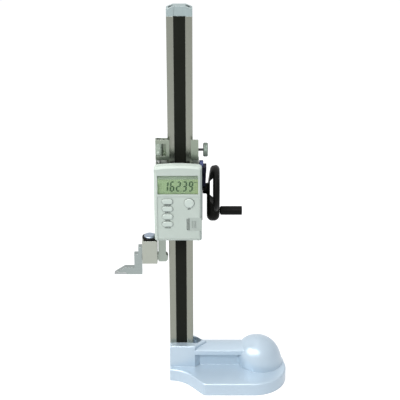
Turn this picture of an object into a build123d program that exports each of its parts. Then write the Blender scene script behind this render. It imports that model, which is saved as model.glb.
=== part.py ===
from build123d import *
import os
from math import acos, cos, pi, radians, sin, sqrt, tan

# Digital height gauge. Millimetres, +Z up. The origin is on the resting plane under the
# middle of the column, X runs along the base away from the scriber, -Y is the display side.

# Fits
seat_gap = 0.01  # pieces of one assembly that are seated on each other
slide_gap = 0.05  # sliding fits on the column, each side
run_gap = 0.03  # shafts and threads that turn, radial
free_gap = 0.3  # pieces that pass each other without touching

# Column
column_width = 31.4
column_depth = 12.0
column_foot = 14.0
column_top = 512.8
column_edge = 0.6
strip_width = 14.1
strip_thickness = 0.8
strip_groove_depth = 1.0
strip_groove_side = 0.25
cap_height = 12.2
cap_slope_width = 8.0
cap_slope_drop = 3.3

# Rack and pinion drive
module = 1.0
pinion_teeth = 18
pinion_width = 6.0
pressure_angle = 20.0
tooth_backlash = 0.16
rack_width = 8.0
rack_back = 3.6
rack_tip_inset = 0.5
rack_start_gap = 11.2
rack_end_gap = 12.8
drive_z = 275.4
shaft_radius = 2.5
bush_wall = 1.3
bush_length = 6.0

# Base casting
plate_thickness = 18.0
plate_left = -16.0
plate_right = 141.8
plate_front = -57.0
plate_back = 30.0
neck_front = -22.7
neck_back = 16.5
shoulder_start = 0.8
shoulder_end = 30.0
neck_curve = 40.0
neck_length = 60.0
shoulder_round = 8.0
plate_edge_round = 2.5
relief_start = 26.0
relief_margin = 12.0
relief_depth = 3.0
block_top = 50.8
block_front_wall = 10.0
block_back_wall = 6.5
block_corner_x = 18.0
block_nose_x = 33.4
block_edge_round = 2.0
bridge_crown = 48.0
bridge_edge = 43.5
bridge_under = 37.0
bridge_overhang = 6.0
dome_x = 109.5
dome_lean = 7.6
dome_radius = 30.5
dome_height = 37.0
dome_shares = (0.0, 0.1, 0.28, 0.5, 0.7, 0.85, 0.95)  # heights of its sections
recess_half = 7.75
recess_corner_x = 20.7
recess_nose_x = 27.4
recess_depth = 10.0

# Slider on the column
slider_bottom = 219.0
slider_top = 322.5
slider_left = -30.9
slider_right = 23.5
lip_thickness = 6.45
lip_cover = 3.2
slider_back_wall = 3.4
gib_thickness = 1.5
gib_inset = 4.0
jaw_left = -29.3
jaw_width = 9.8
jaw_drop = 2.7
jaw_toe = 2.6
jaw_toe_height = 10.9
jaw_toe_round = 4.4
arm_depth = 8.0
arm_front = -13.0
arm_height = 8.0
arm_base = 184.5

# Scriber and its clamp
measuring_z = 162.39
leg_left = -61.0
leg_right = -50.8
shank_left = -55.5
shank_height = 10.8
blade_height = 9.8
blade_top_left = -73.5
blade_tip = -87.6
tip_edge = 0.4
carbide_length = 16.0
carbide_height = 3.0
clamp_left = -50.2
clamp_right = -30.5
clamp_wall = 6.0
clamp_head = 11.7
clamp_knob_radius = 7.4
clamp_knob_height = 2.4
clamp_ring_radius = 9.8
clamp_ring_height = 2.0

# Display unit
display_left = -32.8
display_right = 27.2
display_bottom = 223.5
display_top = 326.6
display_front = -34.0
cover_depth = 10.0
cover_wall = 2.0
cover_arch = 2.4
cover_bevel = 2.4
cover_corner = 3.0
flange_thickness = 2.0
flange_inset = 0.8
back_shell_inset = 6.4
back_shell_top = 320.5
window_left = -28.4
window_right = 22.4
window_bottom = 290.4
window_top = 316.2
window_thickness = 1.0
window_ledge = 1.6
lcd_thickness = 2.4
board_thickness = 1.6
board_front = -28.6
key_dome_height = 0.5
panel_step = 0.4
panel_top = 287.0
oval_x = -16.1
oval_tops = (280.2, 269.8, 258.9, 248.2)
oval_width = 13.8
oval_height = 7.0
round_x = 11.3
round_z = 278.0
round_radius = 6.3
button_proud = 1.3
button_travel = 1.0
button_flange = 0.8
battery_x = 17.0
battery_z = 247.7
cell_radius = 5.8
cell_thickness = 5.4
door_height = 19.2
door_thickness = 1.5
door_left = 9.8
door_tongue = 0.8
door_slot_width = 1.8
head_half_width = 10.0
head_bottom = 252.0
head_top = 298.0

# Fine feed carriage
carriage_bottom = 327.3
carriage_top = 355.0
carriage_right = 22.9
carriage_lip_cover = 2.3
carriage_back_wall = 4.0
carriage_side_wall = 1.65
bracket_left = -30.9
bracket_wall = 6.2
bracket_flat = 7.0
lug_flat = 2.0
carriage_fall = 30.0
feed_rod_bite = 18.0
window_low = 333.5
window_high = 349.9
feed_x = -26.5
feed_y = -8.0
feed_radius = 2.5
nut_radius = 4.6
thumb_z = 336.5
thumb_stem_radius = 1.6
thumb_stem_length = 5.8
thumb_knob_radius = 8.75
thumb_knob_thickness = 6.0
clamp_pad_length = 1.6

# Slider lock
lock_z = 316.5
lock_radius = 4.9
lock_head = 5.2

# Drive housing, crank wheel and handle
housing_left = -12.0
housing_wall = 2.2
side_plate_thickness = 4.5
side_plate_top = 311.0
side_plate_bottom = 236.0
side_plate_front = -9.0
ear_reach = 5.0
ear_foot_reach = 3.8
wheel_clearance = 0.5
ear_bottom = 285.0
wheel_hub_radius = 7.0
wheel_hub_end = 37.7
wheel_radius = 30.3
rim_left = 41.6
rim_right = 50.1
rim_depth = 8.5
arm_width = 17.0
arm_round = 2.5
upper_foot_gap = 6.8
lobe_offset = 32.3
lobe_radius = 13.4
lobe_round = 8.0
rim_round = 3.9
arm_inner = 14.0
handle_radius = 5.8
handle_length = 29.0
handle_pin_radius = 2.2

# Fasteners
screw_slack = 0.15  # clearance holes, radial
column_screw_radius = 2.1
column_screw_head = 4.0
rack_screw_radius = 1.25
rack_screw_head = 2.6
rack_screw_sink = 1.5
rack_screw_count = 5
cap_screw_radius = 1.5
cap_screw_head = 3.0
cap_screw_seat = 6.5
cap_screw_bite = 8.0
column_screw_bite = 5.0
gib_screw_radius = 2.0
gib_screw_sink = 1.5
mount_screw_radius = 1.5
mount_screw_head = 2.7
mount_screw_bite = 4.5
housing_screw_radius = 1.5
housing_screw_head = 2.8
housing_screw_length = 7.0
housing_screw_sink = 2.8
cover_screw_radius = 1.25
cover_screw_head = 2.3
cover_screw_inset = 3.8
cover_screw_length = 8.0
cover_post_radius = 3.2
screw_head_height = 1.6  # heads of the small screws, in thread radii
wheel_screw_radius = 1.25
wheel_screw_length = 8.0
wheel_screw_sink = 2.6
wheel_screw_head = 2.5
keeper_radius = 1.5
keeper_length = 3.6
handle_pin_thread = 1.8
handle_pin_bite = 9.0
handle_pin_head = 1.4  # beyond the pin, radial
handle_pin_sink = 3.0
lock_stem_radius = 2.0
clamp_stem_radius = 2.5

# Values that follow from the ones above
half_width = column_width / 2
front_face = -column_depth / 2
back_face = column_depth / 2
strip_face = front_face + strip_groove_depth - strip_thickness
rack_tip_y = back_face - rack_tip_inset
rack_addendum = 0.8 * module
pinion_addendum = 0.9 * module
dedendum = 1.15 * module
rack_pitch_y = rack_tip_y - rack_addendum
rack_groove_floor = rack_pitch_y - dedendum - rack_back
pitch_radius = module * pinion_teeth / 2
drive_y = rack_pitch_y + pitch_radius
pinion_tip = pitch_radius + pinion_addendum
slider_front = front_face - slide_gap - lip_thickness
slider_back = back_face + slide_gap + slider_back_wall
channel_left = -half_width - slide_gap - gib_thickness - seat_gap
block_front = front_face - block_front_wall
block_back = back_face + block_back_wall
bridge_middle = (block_front + block_back) / 2
dome_y = plate_back - dome_radius
cover_back = display_front + cover_depth
inner_face = display_front + cover_wall
shank_bottom = arm_base + arm_height
jaw_bottom = arm_base - jaw_drop
clamp_bottom = jaw_bottom
shank_top = shank_bottom + shank_height
clamp_top = shank_top + clamp_head
handle_z = drive_z - lobe_offset
housing_right = slider_right + side_plate_thickness
bush_radius = shaft_radius + bush_wall
cap_top = column_top + cap_height
rack_start = block_top + rack_start_gap
rack_end = column_top - rack_end_gap
ring_bottom = clamp_top + free_gap
clamp_x = (clamp_left + clamp_right) / 2
clamp_y = arm_front + arm_depth / 2
door_bottom = battery_z - door_height / 2
door_top = battery_z + door_height / 2
pocket_floor = inner_face + cell_thickness
wheel_screw_seat = wheel_hub_end - wheel_screw_sink
wheel_left = housing_right + free_gap
pin_head_start = rim_right + free_gap + handle_length - handle_pin_sink
wheel_arm_left = housing_right + ear_reach + wheel_clearance
bracket_web_front = feed_y + nut_radius + free_gap
bracket_web_left = -half_width - slide_gap - carriage_side_wall
keeper_x = bracket_web_left - 2 * keeper_radius
keeper_y = slider_front + bracket_flat / 2
feed_rod_top = carriage_top - 1.0


def block(x0, x1, y0, y1, z0, z1):
    return Pos((x0 + x1) / 2, (y0 + y1) / 2, (z0 + z1) / 2) * Box(x1 - x0, y1 - y0, z1 - z0)


def rod_x(x0, x1, y, z, radius):
    return Pos((x0 + x1) / 2, y, z) * Rot(0, 90, 0) * Cylinder(radius, x1 - x0)


def rod_y(x, y0, y1, z, radius):
    return Pos(x, (y0 + y1) / 2, z) * Rot(90, 0, 0) * Cylinder(radius, y1 - y0)


def rod_z(x, y, z0, z1, radius):
    return Pos(x, y, (z0 + z1) / 2) * Cylinder(radius, z1 - z0)


def closed_face(points):
    return make_face(Polyline(*points, close=True).edges())


def prism_x(face, x0, x1):
    return extrude(Plane.YZ.offset(x0) * face, amount=x1 - x0)


def prism_y(face, y0, y1):
    return extrude(Plane.XZ.offset(-y1) * face, amount=y1 - y0)


def prism_z(face, z0, z1):
    return extrude(Pos(0, 0, z0) * face, amount=z1 - z0)


def joined(shapes):
    return Compound(children=[solid for shape in shapes for solid in shape.solids()])


def socket_screw(direction, x, y, z, radius, length, head_radius, head_height):
    # Cap screw with its head's underside at (x, y, z) and its thread running along direction.
    key = RegularPolygon(head_radius * 0.55, 6)
    screw = Pos(0, 0, -head_height / 2) * Cylinder(head_radius, head_height)
    screw -= extrude(Pos(0, 0, -head_height) * key, amount=head_height * 0.5)
    screw += Pos(0, 0, length / 2) * Cylinder(radius, length)
    return Plane(origin=(x, y, z), z_dir=direction) * screw


def sunk_screw(direction, x, y, z, radius, length, head_radius, head_height):
    # Countersunk screw with the top of its head at (x, y, z).
    screw = Pos(0, 0, head_height / 2) * Cone(head_radius, radius, head_height)
    screw += Pos(0, 0, (head_height + length) / 2) * Cylinder(radius, length - head_height)
    screw -= Box(head_radius * 1.5, head_radius * 0.25, head_height * 0.6)
    return Plane(origin=(x, y, z), z_dir=direction) * screw


# Base casting

def base_outline():
    middle = (plate_front + plate_back) / 2
    end_radius = (plate_back - plate_front) / 2
    start = shoulder_start - neck_length
    end = plate_right - end_radius
    outline = closed_face(
        [
            (start, neck_front),
            (shoulder_start, neck_front),
            (shoulder_end, plate_front),
            (end, plate_front),
            (end, plate_back),
            (shoulder_end, plate_back),
            (shoulder_start, neck_back),
            (start, neck_back),
        ]
    )
    corners = outline.vertices()
    necks = corners.filter_by_position(Axis.X, shoulder_start - 1, shoulder_start + 1)
    outline = fillet(necks, neck_curve)
    bends = outline.vertices().filter_by_position(Axis.X, shoulder_end - 1, shoulder_end + 1)
    outline = fillet(bends, shoulder_round)
    outline += Pos(end, middle) * Circle(end_radius)
    length = plate_right - plate_left
    return outline & Pos(plate_left + length / 2, middle) * Rectangle(length, 4 * end_radius)


def bridge_section():
    front, back = block_front, block_back
    stem_front, stem_back = front + bridge_overhang, back - bridge_overhang
    low = plate_thickness / 2
    outline = [
        Polyline(
            (front, bridge_edge), (front, bridge_under), (stem_front, bridge_under), (stem_front, low)
        ),
        Line((stem_front, low), (stem_back, low)),
        Polyline((stem_back, low), (stem_back, bridge_under), (back, bridge_under), (back, bridge_edge)),
        ThreePointArc((back, bridge_edge), (bridge_middle, bridge_crown), (front, bridge_edge)),
    ]
    return make_face([edge for wire in outline for edge in wire.edges()])


def dome():
    # Palm grip: circles that shrink towards the crown and lean back over the bridge.
    sections = []
    for share in dome_shares:
        radius = dome_radius * sqrt(1 - share**3)
        middle_x = dome_x - dome_lean * sqrt(share)
        height = plate_thickness - plate_edge_round + (dome_height + plate_edge_round) * share
        sections.append(Pos(middle_x, dome_y, height) * Circle(radius))
    crown = Vertex(dome_x - dome_lean, dome_y, plate_thickness + dome_height)
    return loft([section.face() for section in sections] + [crown])


def base_casting():
    outline = base_outline()
    plate = prism_z(outline, 0, plate_thickness)
    plate = fillet(plate.edges().group_by(Axis.Z)[-1], plate_edge_round)
    nose_half = (block_back - block_front) / 2
    raised = prism_z(
        closed_face(
            [
                (plate_left, block_front),
                (block_corner_x, block_front),
                (block_nose_x, bridge_middle),
                (block_corner_x, bridge_middle + nose_half),
                (plate_left, block_back),
            ]
        ),
        plate_thickness / 2,
        block_top,
    )
    raised = fillet(raised.edges().group_by(Axis.Z)[-1], block_edge_round)
    bridge = prism_x(bridge_section(), block_corner_x - block_front_wall, dome_x - dome_radius / 2)
    casting = plate + raised + bridge + dome()
    pocket = block(
        plate_left - column_width,
        half_width + seat_gap,
        front_face - seat_gap,
        back_face + seat_gap,
        column_foot,
        block_top + column_width,
    )
    casting -= pocket
    recess = closed_face(
        [
            (0, -recess_half),
            (recess_corner_x, -recess_half),
            (recess_nose_x, 0),
            (recess_corner_x, recess_half),
            (0, recess_half),
        ]
    )
    recess = prism_z(recess, block_top - recess_depth, block_top + 1)
    casting -= recess & block(half_width, recess_nose_x, -recess_half, recess_half, 0, block_top + 1)
    for x, z in column_screw_places():
        casting -= rod_y(x, 0, block_back + 1, z, column_screw_radius + screw_slack)
        casting -= rod_y(x, block_back - column_screw_head, block_back + 1, z, 2 * column_screw_radius)
    margin = offset(outline, amount=-relief_margin)
    relief = prism_z(margin, -1, relief_depth)
    relief &= block(relief_start, plate_right, plate_front, plate_back, -1, relief_depth)
    return casting - relief


def column_screw_places():
    low = column_foot + 9
    high = block_top - 11
    return [(x, z) for x in (-half_width * 0.6, half_width * 0.6) for z in (low, high)]


def column_screws():
    length = block_back_wall - column_screw_head + column_screw_bite
    return joined(
        socket_screw(
            (0, -1, 0), x, block_back - column_screw_head, z,
            column_screw_radius, length, 2 * column_screw_radius - 0.1, column_screw_head - 0.4,
        )
        for x, z in column_screw_places()
    )


# Column, scale strip, rack and cap

def strip_groove(z0, z1):
    half = strip_width / 2 + strip_groove_side
    return block(-half, half, front_face - 1, front_face + strip_groove_depth, z0, z1)


def rack_screw_places():
    step = (rack_end - rack_start - 24) / (rack_screw_count - 1)
    return [rack_start + 12 + step * index for index in range(rack_screw_count)]


def column():
    shaft = block(-half_width, half_width, front_face, back_face, column_foot, column_top)
    shaft = chamfer(shaft.edges().filter_by(Axis.Z), column_edge)
    shaft -= strip_groove(block_top, column_top + 1)
    groove_half = rack_width / 2 + seat_gap
    shaft -= block(
        -groove_half, groove_half, rack_groove_floor - seat_gap, back_face + 1,
        rack_start - seat_gap, rack_end + seat_gap,
    )
    for z in rack_screw_places():
        shaft -= rod_y(0, front_face, back_face, z, rack_screw_radius + screw_slack)
        head = Cone(rack_screw_head + 0.05, rack_screw_radius + screw_slack, rack_screw_sink)
        shaft -= Pos(0, front_face + strip_groove_depth + rack_screw_sink / 2, z) * Rot(-90, 0, 0) * head
    for x, z in column_screw_places():
        shaft -= rod_y(
            x, back_face - column_screw_bite - 0.5, back_face + 1, z, column_screw_radius + seat_gap,
        )
    for x in cap_screw_places():
        shaft -= rod_z(
            x, 0, column_top - cap_screw_bite - 2, column_top + 1, cap_screw_radius + seat_gap,
        )
    return shaft


def scale_strip():
    half = strip_width / 2
    return block(
        -half, half, strip_face, strip_face + strip_thickness - seat_gap,
        block_top + seat_gap, column_top - seat_gap,
    )


def feed_rack():
    pitch = pi * module
    tip_half = pitch / 4 - tooth_backlash / 4 - rack_addendum * tan(radians(pressure_angle))
    root_half = pitch / 4 - tooth_backlash / 4 + dedendum * tan(radians(pressure_angle))
    root_y = rack_pitch_y - dedendum
    first = int((rack_start - drive_z) / pitch) + 1
    last = int((rack_end - drive_z) / pitch) - 2
    points = [(rack_groove_floor, rack_start), (root_y, rack_start)]
    for index in range(first, last + 1):
        middle = drive_z + (index + 0.5) * pitch
        points += [(root_y, middle - root_half), (rack_tip_y, middle - tip_half)]
        points += [(rack_tip_y, middle + tip_half), (root_y, middle + root_half)]
    points += [(root_y, rack_end), (rack_groove_floor, rack_end)]
    rack = prism_x(closed_face(points), -rack_width / 2, rack_width / 2)
    for z in rack_screw_places():
        rack -= rod_y(0, rack_groove_floor - 1, root_y - 0.6, z, rack_screw_radius + seat_gap)
    return rack


def rack_screws():
    top = front_face + strip_groove_depth
    length = rack_pitch_y - dedendum - 0.8 - top
    return joined(
        sunk_screw((0, 1, 0), 0, top, z, rack_screw_radius, length, rack_screw_head, rack_screw_sink)
        for z in rack_screw_places()
    )


def cap_screw_places():
    return (-half_width * 0.68, half_width * 0.68)


def column_cap():
    left, right = -half_width, half_width
    profile = closed_face(
        [
            (left, column_top + seat_gap),
            (right, column_top + seat_gap),
            (right, cap_top - cap_slope_drop),
            (right - cap_slope_width, cap_top),
            (left + cap_slope_width, cap_top),
            (left, cap_top - cap_slope_drop),
        ]
    )
    cap = prism_y(profile, front_face, back_face)
    cap = chamfer(cap.edges().filter_by(Axis.Z), column_edge)
    cap -= strip_groove(column_top, cap_top + 1)
    for x in cap_screw_places():
        cap -= rod_z(x, 0, column_top, cap_top + 1, cap_screw_radius + screw_slack)
        cap -= rod_z(x, 0, cap_top - cap_screw_seat, cap_top + 1, cap_screw_head + screw_slack)
    return cap


def cap_screws():
    seat = cap_top - cap_screw_seat
    length = seat - column_top + cap_screw_bite
    return joined(
        socket_screw((0, 0, -1), x, 0, seat, cap_screw_radius, length, cap_screw_head, 2.6)
        for x in cap_screw_places()
    )


# Slider frame, gib and scriber clamp

def slider_frame():
    left_edge, right_edge = slider_left, slider_right
    frame = block(left_edge, right_edge, slider_front, slider_back, slider_bottom, slider_top)
    frame = chamfer(frame.edges().filter_by(Axis.Z), 1.0)
    frame -= block(
        channel_left, half_width + slide_gap, front_face - slide_gap, back_face + slide_gap,
        slider_bottom - 1, slider_top + 1,
    )
    opening = half_width - lip_cover
    frame -= block(-opening, opening, slider_front - 1, front_face, slider_bottom - 1, slider_top + 1)
    window_half = pinion_tip + free_gap
    frame -= block(
        -pinion_width / 2 - 1, pinion_width / 2 + 1, back_face, slider_back + 1,
        drive_z - window_half, drive_z + window_half,
    )
    jaw_right = jaw_left + jaw_width
    jaw = block(jaw_left, jaw_right, arm_front, arm_front + arm_depth, jaw_bottom, slider_bottom + 6)
    toe = block(
        jaw_right - jaw_toe, jaw_right + jaw_toe, arm_front, arm_front + arm_depth,
        jaw_bottom, jaw_bottom + jaw_toe_height,
    )
    toe = fillet(toe.edges().filter_by(Axis.Y).group_by(Axis.X)[-1], jaw_toe_round)
    arm = block(
        clamp_left + 0.6, jaw_left + 1, arm_front, arm_front + arm_depth,
        arm_base, arm_base + arm_height,
    )
    frame += jaw + toe + arm
    for z in gib_screw_places():
        frame -= rod_x(slider_left - 1, channel_left, 0, z, gib_screw_radius + seat_gap)
    for x, z in mount_screw_places():
        frame -= rod_y(x, slider_front - 1, front_face, z, mount_screw_radius + seat_gap)
    frame -= rod_x(half_width, slider_right + 1, 0, lock_z, lock_stem_radius + run_gap)
    frame -= rod_z(feed_x, feed_y, slider_top - feed_rod_bite, slider_top + 1, feed_radius + seat_gap)
    for y, z in housing_screw_places():
        frame -= rod_x(half_width + 2, slider_right + 1, y, z, housing_screw_radius + seat_gap)
    return frame


def gib_screw_places():
    span = slider_top - slider_bottom
    return [slider_bottom + span * share for share in (0.15, 0.5, 0.82)]


def mount_screw_places():
    x = half_width + mount_screw_radius - lip_cover / 2
    return [(side * x, z) for side in (-1, 1) for z in (head_bottom - 12, head_top + 8)]


def housing_screw_places():
    y = (front_face + slider_back) / 2
    return [(y, side_plate_bottom + 8), (y, side_plate_top - 10)]


def gib_leaf():
    left = channel_left + seat_gap
    half_depth = back_face - 0.5
    return block(
        left, left + gib_thickness, -half_depth, half_depth,
        slider_bottom + gib_inset, slider_top - gib_inset,
    )


def gib_screws():
    screws = []
    for z in gib_screw_places():
        end = slider_left + gib_screw_sink
        screw = rod_x(end, channel_left, 0, z, gib_screw_radius)
        socket = Plane(origin=(end - 1, 0, z), z_dir=(1, 0, 0)) * RegularPolygon(gib_screw_radius * 0.6, 6)
        screws.append(screw - extrude(socket, amount=gib_screw_radius + 1))
    return joined(screws)


def clamp_box():
    front, back = arm_front - clamp_wall, arm_front + arm_depth + clamp_wall
    box = block(clamp_left, clamp_right, front, back, clamp_bottom, clamp_top)
    box = chamfer(box.edges().group_by(Axis.Z)[-1].filter_by(Axis.Y), 1.6)
    box = chamfer(box.edges().filter_by(Axis.Z), 0.8)
    box -= block(
        clamp_left - 1, clamp_right + 1, arm_front - slide_gap, arm_front + arm_depth + slide_gap,
        arm_base - seat_gap, shank_top + 2 * free_gap,
    )
    return box - rod_z(clamp_x, clamp_y, shank_top, clamp_top + 1, clamp_stem_radius + run_gap)


def clamp_knob():
    low = ring_bottom + clamp_ring_height + seat_gap
    knob = rod_z(clamp_x, clamp_y, low, low + clamp_knob_height, clamp_knob_radius)
    knob = chamfer(knob.edges().group_by(Axis.Z)[-1], clamp_knob_height * 0.3)
    dish = Pos(clamp_x, clamp_y, low + clamp_knob_height) * Cone(4.2, 5.2, 1.2)
    return knob - dish + rod_z(clamp_x, clamp_y, shank_top + seat_gap, low, clamp_stem_radius)


def clamp_knob_ring():
    ring = rod_z(clamp_x, clamp_y, ring_bottom, ring_bottom + clamp_ring_height, clamp_ring_radius)
    ring = chamfer(ring.edges(), 0.4)
    return ring - rod_z(clamp_x, clamp_y, ring_bottom - 1, ring_bottom + 9, clamp_stem_radius + seat_gap)


def scriber_profile():
    blade_top = measuring_z + blade_height
    return closed_face(
        [
            (blade_tip, measuring_z),
            (leg_right, measuring_z),
            (leg_right, shank_bottom + seat_gap),
            (clamp_right, shank_bottom + seat_gap),
            (clamp_right, shank_top),
            (shank_left, shank_top),
            (shank_left, shank_bottom),
            (leg_left, shank_bottom),
            (leg_left, blade_top),
            (blade_top_left, blade_top),
            (blade_tip, measuring_z + tip_edge),
        ]
    )


def scriber_tip_zone(gap):
    return block(
        blade_tip - 1, blade_tip + carbide_length + gap, arm_front - 1, arm_front + arm_depth + 1,
        measuring_z - 1, measuring_z + carbide_height + gap,
    )


def scriber():
    return prism_y(scriber_profile(), arm_front, arm_front + arm_depth) - scriber_tip_zone(seat_gap)


def carbide_tip():
    return prism_y(scriber_profile(), arm_front, arm_front + arm_depth) & scriber_tip_zone(0)


# Display unit

def arched_face(left, right, bottom, top, arch):
    middle = (left + right) / 2
    edges = [
        Polyline((left, top), (left, bottom), (right, bottom), (right, top)),
        ThreePointArc((right, top), (middle, top + arch), (left, top)),
    ]
    outline = make_face([edge for wire in edges for edge in wire.edges()])
    return fillet(outline.vertices(), cover_corner)


def pill(width, height):
    return SlotOverall(width, height)


def oval_face(grow):
    return pill(oval_width + 2 * grow, oval_height + 2 * grow)


def round_face(grow):
    return Circle(round_radius + grow)


def button_places():
    # Name, face maker, X and Z of each button.
    names = ("button_power", "button_zero", "button_units", "button_hold")
    places = [(name, oval_face, oval_x, z) for name, z in zip(names, oval_tops)]
    return places + [("button_set", round_face, round_x, round_z)]


def cover_screw_places():
    x0, x1 = display_left + cover_screw_inset, display_right - cover_screw_inset
    z0, z1 = display_bottom + cover_screw_inset, display_top - cover_screw_inset
    return [(x, z) for x in (x0, x1) for z in (z0, z1)]


def display_front_cover():
    outer = arched_face(display_left, display_right, display_bottom, display_top, cover_arch)
    cover = prism_y(outer, display_front, cover_back)
    cover = chamfer(cover.faces().sort_by(Axis.Y)[0].edges(), cover_bevel)
    inner = arched_face(
        display_left + cover_wall, display_right - cover_wall,
        display_bottom + cover_wall, display_top - cover_wall, cover_arch,
    )
    cover -= prism_y(inner, inner_face, cover_back + 1)
    # Posts for the cover screws and the battery tray.
    for x, z in cover_screw_places():
        cover += rod_y(x, inner_face - 1, cover_back, z, cover_post_radius)
        cover -= rod_y(x, inner_face + 1, cover_back + 1, z, cover_screw_radius + seat_gap)
    cover += block(
        door_left - 0.8, display_right, inner_face - 0.5, pocket_floor + cover_wall,
        door_bottom - 1.4, door_top + 1.4,
    )
    cover -= rod_y(battery_x, inner_face - 1, pocket_floor, battery_z, cell_radius + free_gap)
    # Recess of the key panel, window, keys, battery door and its finger slot.
    cover -= block(
        display_left + 4, display_right - 3, display_front - 1, display_front + panel_step,
        display_bottom + 3, panel_top,
    )
    cover -= block(window_left, window_right, display_front - 1, inner_face + 1, window_bottom, window_top)
    cover -= block(
        window_left - window_ledge, window_right + window_ledge, inner_face - 0.8, inner_face + 1,
        window_bottom - window_ledge, window_top + window_ledge,
    )
    for name, make_outline, x, z in button_places():
        hole = prism_y(Pos(x, z) * make_outline(free_gap), display_front - 1, inner_face + 1)
        cover -= hole
    door_face = display_front + panel_step
    cover -= block(
        door_left, display_right + 1, display_front - 1, door_face + door_thickness + 0.05,
        door_bottom, door_top,
    )
    cover -= block(
        door_left, display_right + 1, door_face + 0.5, door_face + door_thickness + 0.05,
        door_bottom - door_tongue, door_top + door_tongue,
    )
    cover -= block(
        door_left - door_slot_width, door_left + 1, display_front - 1, door_face + 1.0,
        door_bottom + 1.5, door_top - 1.5,
    )
    return cover


def battery_cover():
    face = display_front + panel_step
    side = slide_gap
    door = block(
        door_left + side, display_right - 0.1, face, face + door_thickness,
        door_bottom + side, door_top - side,
    )
    door += block(
        door_left + side, display_right - 0.1, face + 0.55, face + door_thickness,
        door_bottom - door_tongue + side, door_top + door_tongue - side,
    )
    for step in range(3):
        x = door_left + 5 + 2.2 * step
        door -= block(x, x + 0.8, face - 1, face + 0.4, battery_z - 5, battery_z + 5)
    return door


def battery_cell():
    front = pocket_floor - cell_thickness + 0.15
    cell = rod_y(battery_x, front, pocket_floor - 0.25, battery_z, cell_radius)
    return chamfer(cell.edges(), 0.5)


def battery_contact():
    ring = rod_y(battery_x, pocket_floor - 0.22, pocket_floor - 0.02, battery_z, cell_radius - 1)
    return ring - rod_y(battery_x, pocket_floor - 1, pocket_floor + 1, battery_z, 2)


def key(make_outline, x, z):
    outline = Pos(x, z) * make_outline(0)
    face = display_front + panel_step - button_proud
    back = board_front - key_dome_height - button_travel - 0.15
    cap = prism_y(outline, face, inner_face + 0.5)
    cap = chamfer(cap.faces().sort_by(Axis.Y)[0].edges(), 0.8)
    cap += prism_y(Pos(x, z) * make_outline(button_flange), inner_face + 0.1, inner_face + 1.0)
    return cap + rod_y(x, inner_face, back, z, 1.6)


def key_domes():
    domes = []
    for name, make_outline, x, z in button_places():
        domes.append(rod_y(x, board_front - key_dome_height, board_front - seat_gap, z, 2.4))
    return joined(domes)


def lcd_window():
    front = inner_face - 0.8
    pane = block(
        window_left - window_ledge + 0.1, window_right + window_ledge - 0.1,
        front + seat_gap, front + window_thickness,
        window_bottom - window_ledge + 0.1, window_top + window_ledge - 0.1,
    )
    return pane + block(
        window_left + 0.05, window_right - 0.05, display_front + 0.35, front + window_thickness,
        window_bottom + 0.05, window_top - 0.05,
    )


def lcd_panel():
    front = inner_face - 0.8 + window_thickness + 0.05
    return block(
        window_left - 1, window_right + 1, front, front + lcd_thickness, window_bottom - 1, window_top + 1,
    )


def circuit_board():
    left, right = display_left + cover_wall + 1, display_right - cover_wall - 1
    board = block(
        left, right, board_front, board_front + board_thickness,
        display_bottom + cover_wall + 2, display_top - cover_wall - 2,
    )
    board -= block(
        door_left - 2, right + 1, board_front - 1, board_front + board_thickness + 1,
        door_bottom - 3, door_top + 3,
    )
    for x, z in cover_screw_places():
        board -= rod_y(
            x, board_front - 1, board_front + board_thickness + 1, z, cover_post_radius + free_gap,
        )
    chip = block(
        -8, 6, board_front + board_thickness - 0.1, board_front + board_thickness + 1.4,
        display_top - 26, display_top - 12,
    )
    return board + chip


def display_back_shell():
    flange = prism_y(
        arched_face(
            display_left + flange_inset, display_right - flange_inset,
            display_bottom + flange_inset, display_top - flange_inset, cover_arch,
        ),
        cover_back + seat_gap, cover_back + flange_thickness,
    )
    left, right = display_left + back_shell_inset, display_right - back_shell_inset
    low, floor = display_bottom + 4, slider_front - seat_gap
    shell = flange + block(left, right, cover_back + 0.5, floor, low, back_shell_top)
    shell -= block(
        left + cover_wall, right - cover_wall, cover_back - 1, floor - cover_wall,
        low + cover_wall, back_shell_top - cover_wall,
    )
    shell -= block(
        -head_half_width - free_gap, head_half_width + free_gap, cover_back, floor + 1,
        head_bottom - free_gap, head_top + free_gap,
    )
    for x, z in mount_screw_places():
        shell -= rod_y(x, cover_back, floor + 1, z, mount_screw_radius + screw_slack)
    for x, z in cover_screw_places():
        shell -= rod_y(x, cover_back - 1, cover_back + 9, z, cover_screw_radius + screw_slack)
    return shell


def reader_head():
    back = strip_face - 0.4
    return block(
        -head_half_width, head_half_width, slider_front - cover_wall - 1, back, head_bottom, head_top,
    )


def ribbon_link():
    front = board_front + board_thickness + seat_gap
    return block(-6, 6, front, slider_front - cover_wall - 1 - seat_gap, head_top - 1, head_top - 0.7)


def cover_screws():
    seat = cover_back + flange_thickness + seat_gap
    return joined(
        socket_screw(
            (0, -1, 0), x, seat, z, cover_screw_radius, cover_screw_length,
            cover_screw_head, screw_head_height * cover_screw_radius,
        )
        for x, z in cover_screw_places()
    )


def mount_screws():
    seat = slider_front - cover_wall - 2 * seat_gap
    return joined(
        socket_screw(
            (0, 1, 0), x, seat, z, mount_screw_radius, cover_wall + mount_screw_bite,
            mount_screw_head, screw_head_height * mount_screw_radius,
        )
        for x, z in mount_screw_places()
    )


# Drive housing, shaft, pinion and bushes

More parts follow.
